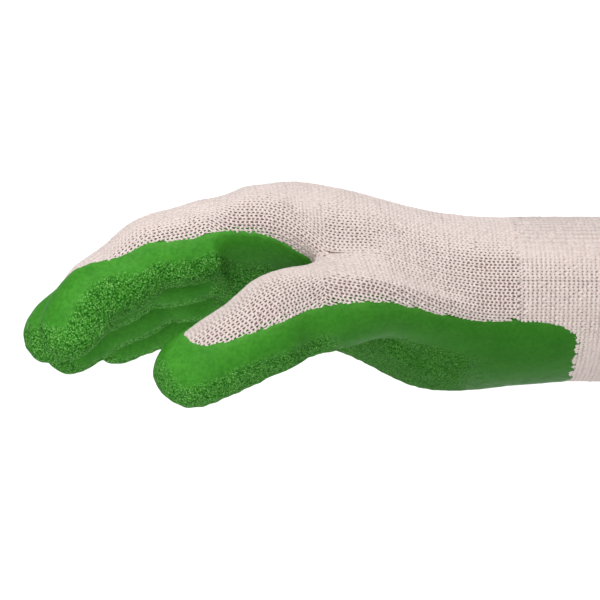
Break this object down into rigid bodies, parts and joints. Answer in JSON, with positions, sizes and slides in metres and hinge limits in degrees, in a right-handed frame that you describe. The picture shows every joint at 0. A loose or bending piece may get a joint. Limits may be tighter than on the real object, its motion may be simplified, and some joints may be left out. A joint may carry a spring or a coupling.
{
  "type": "latex coated grip glove",
  "caption": "Right-hand work glove in off-white seamless knit, its palm, finger sides and tips dipped in crinkled green latex, shown filled as when worn.",
  "frame": {"origin": "centre of the cuff opening, in the plane of the hem's open edge, where the wrist goes in", "axes": "+X points out of the cuff opening so the fingers point to -X, the thumb lies to -Y and the knitted back of the glove faces +Z with the palm rolled 18 degrees towards the thumb's side"},
  "size_m": [0.2394, 0.1174, 0.0691],
  "materials": {
    "knit": "matt off-white cotton and polyester knit",
    "cuff_knit": "matt off-white elastic rib knit",
    "hem": "matt overlocked edge",
    "latex": "green latex, crinkled on the palm and pads and satin elsewhere"
  },
  "bodies": {
    "root": {"knit_shell": "knit", "knit_cuff": "cuff_knit", "cuff_hem": "hem", "latex_coating": "latex"}
  },
  "joints": []
}
